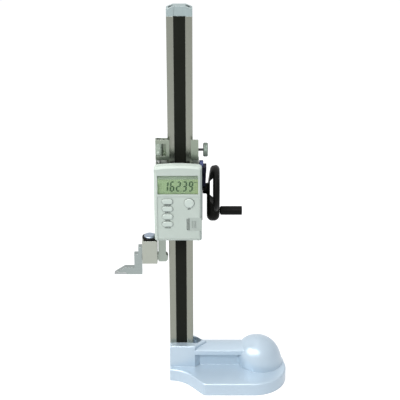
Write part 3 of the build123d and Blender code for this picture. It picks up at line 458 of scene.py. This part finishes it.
baseLook = {
    "colour": (0.49, 0.585, 0.665), "second": (0.465, 0.56, 0.645), "under": (0.30, 0.31, 0.32),
    "edge": 0.0012, "edgeGrain": 260.0, "edgeShare": 0.35, "edgeColour": (0.66, 0.75, 0.82),
    "dust": 0.05, "dustColour": (0.70, 0.70, 0.68), "rough": 0.34, "smoother": 0.03, "rougher": 0.05,
    "relief": 0.10, "depth": 0.00012, "metallic": 0.35, "coat": 0.14, "coatRough": 0.12,
}


def satinBase(name, look):
    # One satin finish over the whole casting. Only the machined underside is bare.
    material, tree = newMaterial(name)
    place = addNode(tree, "ShaderNodeTexCoord")
    clouds = addNoise(tree, place, Scale=26.0, Detail=5.0)
    clouded = mixColour(tree, mapValue(tree, clouds, 0.35, 0.75, 0.0, 1.0), look["colour"], look["second"])
    facing = addNode(tree, "ShaderNodeSeparateXYZ", {0: place.outputs["Normal"]})
    below = mapValue(tree, facing.outputs["Z"], -0.98, -0.9, 1.0, 0.0)
    machined = mixColour(tree, below, clouded, look["under"])
    wear = useGroup(tree, edgeWear, Width=look["edge"], Grain_Scale=look["edgeGrain"])
    edged = rubEdges(tree, wear, look, machined)
    settled = useGroup(tree, dust, Amount=look["dust"])
    dusty = mixColour(tree, settled.outputs["Dust"], edged, look["dustColour"])
    peel = addNoise(tree, place, Scale=520.0, Detail=2.0)
    normal = bumpFrom(tree, peel, look["relief"], look["depth"], wear.outputs["Soft Normal"])
    values = {"Metallic": look["metallic"], "Coat_Weight": look["coat"], "Coat_Roughness": look["coatRough"]}
    finishMaterial(tree, dusty, normal, roughFrom(tree, clouds, look), **values)
    return material


paneLook = {
    "tint": (0.93, 0.97, 0.93), "second": (0.97, 1.0, 0.97), "rough": (0.03, 0.10), "relief": 0.02,
    "depth": 0.00005,
    "index": 1.12, "specular": 0.4,
}


def clearPane(name, look):
    # Faint smears vary how clear the pane is.
    material, tree = newMaterial(name)
    smears = addNoise(tree, addNode(tree, "ShaderNodeTexCoord"), Scale=70.0, Detail=4.0)
    rough = mapValue(tree, smears, 0.4, 0.8, *look["rough"])
    tint = mixColour(tree, smears, look["tint"], look["second"])
    normal = bumpFrom(tree, smears, look["relief"], look["depth"])
    values = {"Transmission_Weight": 1.0, "IOR": look["index"], "Specular_IOR_Level": look["specular"]}
    finishMaterial(tree, tint, normal, rough, **values)
    return material


# Warm span and band height are in millimetres; the band is measured down from the top of the panel.
panelLook = {
    "green": (0.245, 0.33, 0.195), "second": (0.27, 0.355, 0.21), "rough": 0.35, "specular": 0.2,
    "warm": (0.30, 0.345, 0.165), "warmSpan": (12.0, 24.0), "warmShare": 0.55,
    "band": (0.225, 0.275, 0.215), "bandHeight": 7.4, "bandSoftness": 0.6, "relief": 0.02, "depth": 0.00002,
}


def crystalPanel(name, look):
    # Liquid crystal cell: green, warmer to the right, with a duller band at the top.
    material, tree = newMaterial(name)
    place = addNode(tree, "ShaderNodeTexCoord")
    parts = addNode(tree, "ShaderNodeSeparateXYZ", {0: place.outputs["Object"]})
    clouds = addNoise(tree, place, Scale=90.0, Detail=3.0)
    green = mixColour(tree, clouds, look["green"], look["second"])
    left, right = (value * mm for value in look["warmSpan"])
    warmth = mapValue(tree, parts.outputs["X"], left, right, 0.0, look["warmShare"])
    warmed = mixColour(tree, warmth, green, look["warm"])
    bottom = (boxOf("lcd_panel")[1].z - look["bandHeight"]) * mm
    top = bottom + look["bandSoftness"] * mm
    banded = mixColour(tree, mapValue(tree, parts.outputs["Z"], bottom, top, 0.0, 1.0), warmed, look["band"])
    normal = bumpFrom(tree, clouds, look["relief"], look["depth"])
    finishMaterial(tree, banded, normal, look["rough"], Specular_IOR_Level=look["specular"])
    return material


printAndShadeLook = {
    "rough": 0.5, "specular": 0.3, "relief": 0.02, "depth": 0.00001, "fade": 1.6, "lift": 0.02, "worn": 0.3,
}
# grooveShade is painted shade: the dark that falls in grooves, laid on as a flat mark, not ink.
printAndShadeColours = {
    "crystalInk": (0.035, 0.075, 0.035), "labelInk": (0.05, 0.06, 0.055), "grooveShade": (0.085, 0.10, 0.09),
}


# Flat marks: printed ink, and the painted shade of grooves.
def printAndShadeMaterial(name, colour):
    look = printAndShadeLook
    material, tree = newMaterial(name)
    speckle = addNoise(tree, addNode(tree, "ShaderNodeTexCoord"), Scale=900.0, Detail=2.0)
    faded = tuple(value * look["fade"] + look["lift"] for value in colour)
    worn = mixColour(tree, mapValue(tree, speckle, 0.4, 0.7, 0.0, look["worn"]), colour, faded)
    normal = bumpFrom(tree, speckle, look["relief"], look["depth"])
    finishMaterial(tree, worn, normal, look["rough"], Specular_IOR_Level=look["specular"])
    return material


finishes = {name: groundSteel(name, look) for name, look in steelLooks.items()}
finishes.update({name: mouldedPlastic(name, look) for name, look in plasticLooks.items()})
finishes.update({name: printAndShadeMaterial(name, colour) for name, colour in printAndShadeColours.items()})
finishes["baseSatin"] = satinBase("baseSatin", baseLook)
finishes["clearPane"] = clearPane("clearPane", paneLook)
finishes["crystalPanel"] = crystalPanel("crystalPanel", panelLook)

nodeFinishes = {
    "baseSatin": ["base_casting"],
    "columnSteel": ["column"],
    "blackStrip": ["scale_strip"],
    "rackSteel": ["feed_rack", "pinion", "feed_rod", "drive_shaft", "handle_pin"],
    "capSilver": ["column_cap"],
    "darkScrew": [
        "column_screws", "cap_screws", "gib_screws", "housing_screws", "wheel_screw", "keeper_screw",
    ],
    "zincScrew": ["rack_screws", "cover_screws", "mount_screws", "key_domes", "battery_cell"],
    "sliderSteel": ["slider_frame"],
    "clampSteel": ["clamp_box"],
    "scriberSteel": ["scriber"],
    "carbide": ["carbide_tip"],
    "carriageSteel": ["carriage_frame"],
    "chrome": ["clamp_knob"],
    "nutChrome": ["feed_nut"],
    "thumbSteel": ["carriage_clamp"],
    "blueSteel": ["slide_lock"],
    "brass": ["gib_leaf", "pinion_bushes", "lock_pad", "carriage_pad", "battery_contact"],
    "caseWhite": ["display_front_cover"],
    "caseBack": ["display_back_shell"],
    "doorGrey": ["battery_cover"],
    "keyWhite": ["button_power", "button_zero", "button_units", "button_hold", "button_set"],
    "blackHousing": ["drive_housing"],
    "blackGrip": ["crank_wheel", "crank_handle", "clamp_knob_ring"],
    "boardGreen": ["circuit_board", "reader_head"],
    "ribbonAmber": ["ribbon_link"],
    "clearPane": ["lcd_window"],
    "crystalPanel": ["lcd_panel"],
}
for finish, names in nodeFinishes.items():
    for name in names:
        mesh = nodes[name].data
        mesh.materials.clear()
        mesh.materials.append(finishes[finish])
print("finishes are on the solids")


# Pieces that only the looks need. From here on every size and place is in millimetres.

def addPiece(name, mesh, finish, body, smooth=False):
    mesh.materials.append(finishes[finish])
    for polygon in mesh.polygons:
        polygon.use_smooth = smooth
    piece = bpy.data.objects.new(name, mesh)
    bpy.context.scene.collection.objects.link(piece)
    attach(piece, body)
    return piece


# Turned pieces: knurled heads and threads that the solids leave out

nearAxis = 0.05  # radius of the small ring that closes a turned piece at its axis


def turnedMesh(name, axis, centre, profile, segments, radiusAt, hollow=False):
    # Profile holds (place along the axis, radius); radiusAt may change a radius by row and angle.
    mesh = bpy.data.meshes.new(name)
    work = bmesh.new()
    rows = []
    for row, (along, radius) in enumerate(profile):
        ring = []
        for index in range(segments):
            angle = 2 * math.pi * index / segments
            reach = radiusAt(row, along, radius, index, angle)
            place = (reach * math.cos(angle) * mm, reach * math.sin(angle) * mm, along * mm)
            ring.append(work.verts.new(place))
        rows.append(ring)
    for lower, upper in zip(rows, rows[1:]):
        for index in range(segments):
            other = (index + 1) % segments
            work.faces.new([lower[index], lower[other], upper[other], upper[index]])
    if not hollow:
        work.faces.new(rows[0][::-1])
        work.faces.new(rows[-1])
    else:
        for index in range(segments):
            other = (index + 1) % segments
            work.faces.new([rows[-1][index], rows[-1][other], rows[0][other], rows[0][index]])
    bmesh.ops.recalc_face_normals(work, faces=work.faces)
    if axis == "X":
        work.transform(Matrix.Rotation(math.radians(90), 4, "Y"))
    bmesh.ops.translate(work, verts=work.verts, vec=[value * mm for value in centre])
    work.to_mesh(mesh)
    work.free()
    return mesh


def knurled(widest, depth):
    # Teeth wherever the profile is at its widest: every other vertex steps in, so two segments make a tooth.
    def radiusAt(row, along, radius, index, angle):
        return radius - (depth if radius == widest and index % 2 else 0)
    return radiusAt


def threaded(rows, pitch, depth):
    # One turn of the angle moves the ridge by one pitch.
    def radiusAt(row, along, radius, index, angle):
        if row not in rows:
            return radius
        phase = (along / pitch - angle / (2 * math.pi)) % 1.0
        return radius - depth * (1 - abs(2 * phase - 1))
    return radiusAt


# The end of a head is dished: rim and floor are shares of the head's radius, and depth is one of the chamfer.
thumbScrews = {
    "thumb_screw_knurled": {
        "node": "carriage_clamp", "body": "carriage_screw", "finish": "thumbSteel",
        "head": 6.0, "headRadius": 8.75, "stemRadius": 1.6, "chamfer": 1.0,
    },
    "lock_screw_knurled": {
        "node": "slide_lock", "body": "lock", "finish": "blueSteel",
        "head": 5.2, "headRadius": 4.9, "stemRadius": 2.0, "chamfer": 0.6,
    },
}
headForm = {"teeth": 48, "knurl": 0.16, "dishRim": 0.55, "dishFloor": 0.45, "dishDepth": 0.8}


def addThumbScrew(name, form):
    # Screw along X with a knurled head that ends at the node's right side. The stem is dark.
    low, high, middle = boxOf(form["node"])
    radius, stem, chamfer = form["headRadius"], form["stemRadius"], form["chamfer"]
    start = high.x - form["head"]
    dish = high.x - chamfer * headForm["dishDepth"]
    profile = [(low.x, stem), (start, stem), (start, radius - chamfer), (start + chamfer, radius)]
    profile += [(high.x - chamfer, radius), (high.x, radius - chamfer)]
    profile += [(high.x, radius * headForm["dishRim"])]
    profile += [(dish, radius * headForm["dishFloor"]), (dish, nearAxis)]
    teeth = knurled(radius, headForm["knurl"])
    mesh = turnedMesh(name, "X", (0, middle.y, middle.z), profile, 2 * headForm["teeth"], teeth)
    piece = addPiece(name, mesh, form["finish"], form["body"])
    mesh.materials.append(finishes["darkScrew"])
    for polygon in mesh.polygons:
        polygon.material_index = int(polygon.center.x < (start - 0.01) * mm)
    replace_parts(piece, form["node"])


nutForm = {
    "radius": 4.6, "bore": 2.53, "chamfer": 0.6, "teeth": 40, "knurl": 0.14,
    "bands": (0.33, 0.67), "bandWidth": 0.8, "bandDepth": 0.4,
}


def addNut():
    # Two plain bands, at shares of the nut's height, part its knurling.
    form = nutForm
    low, high, middle = boxOf("feed_nut")
    radius, chamfer = form["radius"], form["chamfer"]
    half = form["bandWidth"] / 2
    floor = radius - form["bandDepth"]
    profile = [(low.z, form["bore"]), (low.z, radius - chamfer), (low.z + chamfer, radius)]
    for share in form["bands"]:
        place = low.z + (high.z - low.z) * share
        profile += [(place - half, radius), (place - half, floor)]
        profile += [(place + half, floor), (place + half, radius)]
    profile += [(high.z - chamfer, radius), (high.z, radius - chamfer), (high.z, form["bore"])]
    teeth = knurled(radius, form["knurl"])
    centre = (middle.x, middle.y, 0)
    mesh = turnedMesh("feed_nut_knurled", "Z", centre, profile, 2 * form["teeth"], teeth, hollow=True)
    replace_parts(addPiece("feed_nut_knurled", mesh, "nutChrome", "nut"), "feed_nut")


threadForm = {"radius": 2.5, "pitch": 0.8, "depth": 0.3, "rowHeight": 0.2, "plainRows": 3, "segments": 20}


def addThread():
    # A few rows at either end stay plain.
    form = threadForm
    low, high, middle = boxOf("feed_rod")
    span = high.z - low.z
    count = int(span / form["rowHeight"])
    profile = [(low.z + span * index / count, form["radius"]) for index in range(count + 1)]
    ridge = threaded(range(form["plainRows"], count + 1 - form["plainRows"]), form["pitch"], form["depth"])
    mesh = turnedMesh("feed_rod_thread", "Z", (middle.x, middle.y, 0), profile, form["segments"], ridge)
    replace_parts(addPiece("feed_rod_thread", mesh, "rackSteel", "slider", smooth=True), "feed_rod")


# The crown takes crownShare of the head's height and draws its radius in by crownDraw.
knobForm = {
    "radius": 7.4, "height": 2.4, "stem": 2.5, "chamfer": 0.3, "teeth": 48, "knurl": 0.10,
    "crownSteps": 7, "crownShare": 0.75, "crownDraw": 2.6,
}


def addClampKnob():
    form = knobForm
    low, high, middle = boxOf("clamp_knob")
    radius, stem, chamfer = form["radius"], form["stem"], form["chamfer"]
    under = high.z - form["height"]
    crown = form["height"] * form["crownShare"]
    profile = [(low.z, stem), (under, stem), (under, radius - chamfer), (under + chamfer, radius)]
    for index in range(form["crownSteps"] + 1):
        turn = math.radians(90) * index / form["crownSteps"]
        drawn = form["crownDraw"] * (1 - math.cos(turn))
        profile.append((high.z - crown * (1 - math.sin(turn)), radius - drawn))
    profile.append((high.z, nearAxis))
    teeth = knurled(radius, form["knurl"])
    mesh = turnedMesh("clamp_knob_knurled", "Z", (middle.x, middle.y, 0), profile, 2 * form["teeth"], teeth)
    piece = addPiece("clamp_knob_knurled", mesh, "chrome", "scriber_clamp", smooth=True)
    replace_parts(piece, "clamp_knob")


wheelForm = {
    "armLeft": 33.5, "rimLeft": 37.7, "rimRound": 6.0, "hub": 9.0, "lobeRound": 7.2, "armMargin": 0.6,
    "voxel": 0.7, "softening": 0.5, "softenTimes": 5,
}


def roundedInto(x, reach, left, right, limit, radius):
    # Moves a point of a section back onto the round at either outer corner, if it stands outside it.
    if reach <= limit - radius:
        return x, reach
    centre = min(max(x, left + radius), right - radius)
    away = math.hypot(x - centre, reach - (limit - radius))
    if away <= radius or centre == x:
        return x, min(reach, limit)
    share = radius / away
    return centre + (x - centre) * share, limit - radius + (reach - limit + radius) * share


def remadeWheel():
    # The wheel's own mesh, remade in fine even faces and softened.
    source = bpy.data.objects.new("wheelSource", nodes["crank_wheel"].data.copy())
    bpy.context.scene.collection.objects.link(source)
    remesh = source.modifiers.new("fine", "REMESH")
    remesh.mode = "VOXEL"
    remesh.voxel_size = wheelForm["voxel"] * mm
    soften = source.modifiers.new("soften", "SMOOTH")
    soften.factor = wheelForm["softening"]
    soften.iterations = wheelForm["softenTimes"]
    bpy.context.view_layer.update()
    mesh = bpy.data.meshes.new_from_object(source.evaluated_get(bpy.context.evaluated_depsgraph_get()))
    bpy.data.objects.remove(source)
    mesh.name = "crank_wheel_cast"
    mesh.materials.clear()
    return mesh


def addWheel():
    # The cast wheel has fuller rounds than the solid, so its surface is drawn in to them. Below the axis the
    # arm widens from the hub to the lobe round the handle. Elsewhere the section is that of the rim.
    form = wheelForm
    low, high = boxOf("crank_wheel")[:2]
    axis, handle = boxOf("drive_shaft")[2], boxOf("handle_pin")[2]
    rim, lobe = high.z - axis.z, handle.z - low.z
    nearest = 0.001
    mesh = remadeWheel()
    for vertex in mesh.vertices:
        x, y, z = vertex.co / mm
        dy, dz = y - axis.y, z - axis.z
        share = min(max(-dz / (axis.z - handle.z), 0), 1)
        width = form["hub"] + (lobe - form["hub"]) * share
        if dz < 0 and abs(dy) < width + form["armMargin"]:
            fall = min(0, z - handle.z)
            reach = max(math.hypot(dy, fall), nearest)
            newX, newReach = roundedInto(x, reach, form["armLeft"], high.x, width, form["lobeRound"])
            y = axis.y + dy * newReach / reach
            z = z if fall == 0 else handle.z + fall * newReach / reach
        else:
            reach = max(math.hypot(dy, dz), nearest)
            newX, newReach = roundedInto(x, reach, form["rimLeft"], high.x, rim, form["rimRound"])
            y = axis.y + dy * newReach / reach
            z = axis.z + dz * newReach / reach
        corner = (newX, y, z)
        vertex.co = [min(max(value, low[side]), high[side]) * mm for side, value in enumerate(corner)]
    piece = addPiece("crank_wheel_cast", mesh, "blackGrip", "drive", smooth=True)
    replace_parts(piece, "crank_wheel")


for name, form in thumbScrews.items():
    addThumbScrew(name, form)
addNut()
addThread()
addClampKnob()
addWheel()
print("knurled heads, the thread and the cast wheel are in place")


# Figures of the display. They lie on the back of the window.

digits = {
    "text": "162.39", "left": -21.2, "bottom": 293.3, "height": 14.4, "width": 5.8, "step": 7.72,
    "bar": 1.9, "gap": 0.14, "dot": 0.9, "lean": 0.10, "thickness": 0.03,
}
# Which of the seven bars each figure lights, from 0 to 6: top, upper right, lower right, bottom, lower left,
# upper left, middle.
litBars = {
    "1": (1, 2), "2": (0, 1, 6, 4, 3), "3": (0, 1, 6, 2, 3), "6": (0, 5, 6, 4, 2, 3), "9": (0, 1, 5, 6, 2, 3),
}
windowBack = boxOf("lcd_window")[1].y


def barShape(index):
    # Outline of one bar in a figure's own box: a long hexagon, pointed at both ends.
    width, height, gap = digits["width"], digits["height"], digits["gap"]
    half, middle = digits["bar"] / 2, height / 2
    level = {0: height - half, 6: middle, 3: half}
    if index in level:
        start, end = half + gap, width - half - gap
    elif index in (1, 5):
        start, end = middle + gap, height - half - gap
    else:
        start, end = half + gap, middle - gap
    outline = [(start, 0), (start + half, -half), (end - half, -half)]
    outline += [(end, 0), (end - half, half), (start + half, half)]
    if index in level:
        return [(along, level[index] + across) for along, across in outline]
    x = half if index in (4, 5) else width - half
    return [(x - across, along) for along, across in outline]


def flatMesh(name, outlines, face, thickness):
    # Thin raised shapes on a plane that looks towards -Y, from outlines in X and Z.
    mesh = bpy.data.meshes.new(name)
    work = bmesh.new()
    for outline in outlines:
        front = [work.verts.new((x * mm, (face - thickness) * mm, z * mm)) for x, z in outline]
        back = [work.verts.new((x * mm, face * mm, z * mm)) for x, z in outline]
        work.faces.new(front)
        work.faces.new(back[::-1])
        for index in range(len(outline)):
            other = (index + 1) % len(outline)
            work.faces.new([front[other], front[index], back[index], back[other]])
    bmesh.ops.recalc_face_normals(work, faces=work.faces)
    work.to_mesh(mesh)
    work.free()
    return mesh


def readingOutlines():
    outlines = []
    x = digits["left"]
    dot = digits["dot"]
    for figure in digits["text"]:
        if figure == ".":
            low = x - (digits["step"] - digits["width"]) / 2 - dot / 2
            outlines.append([(low, 0), (low + dot, 0), (low + dot, dot), (low, dot)])
            continue
        for index in litBars[figure]:
            outlines.append([(x + px, pz) for px, pz in barShape(index)])
        x += digits["step"]
    return [[(px + pz * digits["lean"], pz + digits["bottom"]) for px, pz in outline] for outline in outlines]


reading = flatMesh("lcd_reading", readingOutlines(), windowBack, digits["thickness"])
addPiece("lcd_reading", reading, "crystalInk", "slider")


# Printed words, and the painted shade of the display's grooves. The battery door's face is flush with the
# cover's.

coverFace = boxOf("battery_cover")[0].y
lettering = {
    "height": 2.0, "sizeShare": 1.35, "halfThickness": 0.03, "bolder": 0.09, "proud": 0.04, "curveSteps": 3,
}
# Below is how far the middle of the words is under the lower edge of their key.
legends = {
    "power": {"words": "ON/OFF", "below": 0.95},
    "zero": {"words": "ZERO", "below": 0.95},
    "units": {"words": "mm/in", "below": 0.95},
    "hold": {"words": "HOLD", "below": 0.95},
    "set": {"words": "SET", "below": 1.35},
}
unitsMark = {"x": 19.3, "z": 306.2}


def addWords(name, words, x, z, face, finish):
    curve = bpy.data.curves.new(name, "FONT")
    curve.body = words
    curve.size = lettering["height"] * lettering["sizeShare"] * mm
    curve.align_x = "CENTER"
    curve.align_y = "CENTER"
    curve.extrude = lettering["halfThickness"] * mm
    curve.offset = lettering["bolder"] * mm
    curve.resolution_u = lettering["curveSteps"]
    holder = bpy.data.objects.new(name + "Curve", curve)
    bpy.context.scene.collection.objects.link(holder)
    bpy.context.view_layer.update()
    mesh = bpy.data.meshes.new_from_object(holder.evaluated_get(bpy.context.evaluated_depsgraph_get()))
    bpy.data.objects.remove(holder)
    upright = Matrix.Rotation(math.radians(90), 4, "X")
    mesh.transform(Matrix.Translation((x * mm, face * mm, z * mm)) @ upright)
    mesh.materials.clear()
    return addPiece(name, mesh, finish, "slider")


for key, legend in legends.items():
    low, high, middle = boxOf("button_" + key)
    face = coverFace - lettering["proud"]
    z = low.z - legend["below"]
    addWords("legend_" + key, legend["words"], middle.x, z, face, "labelInk")
addWords("lcd_units", "mm", unitsMark["x"], unitsMark["z"], windowBack, "crystalInk")

# Painted shade of grooves too fine for the solids: thin dark shapes laid on where their shade falls, at the
# finger slot of the battery door and the grip at the cover's left edge. Inset is from the node's lower left
# corner, and size is width and height.
grooves = {
    "door_slot": {
        "node": "battery_cover", "body": "battery_door", "inset": (0.45, 1.85), "size": (1.2, 17.4),
    },
    "edge_grip": {
        "node": "display_front_cover", "body": "slider", "inset": (2.7, 18.0), "size": (1.2, 13.0),
    },
}
grooveForm = {"proud": 0.02, "thickness": 0.03}


def addGroove(name, groove):
    # Both ends come to a point at the middle of the width.
    low = boxOf(groove["node"])[0]
    (insetX, insetZ), (width, height) = groove["inset"], groove["size"]
    x0, z0 = low.x + insetX, low.z + insetZ
    x1, z1, cut = x0 + width, z0 + height, width / 2
    outline = [(x0 + cut, z0), (x1, z0 + cut), (x1, z1 - cut), (x0 + cut, z1), (x0, z1 - cut), (x0, z0 + cut)]
    mesh = flatMesh(name, [outline], coverFace - grooveForm["proud"], grooveForm["thickness"])
    addPiece(name, mesh, "grooveShade", groove["body"])


for name, groove in grooves.items():
    addGroove(name, groove)
print("reading, legends and grooves are on the display")
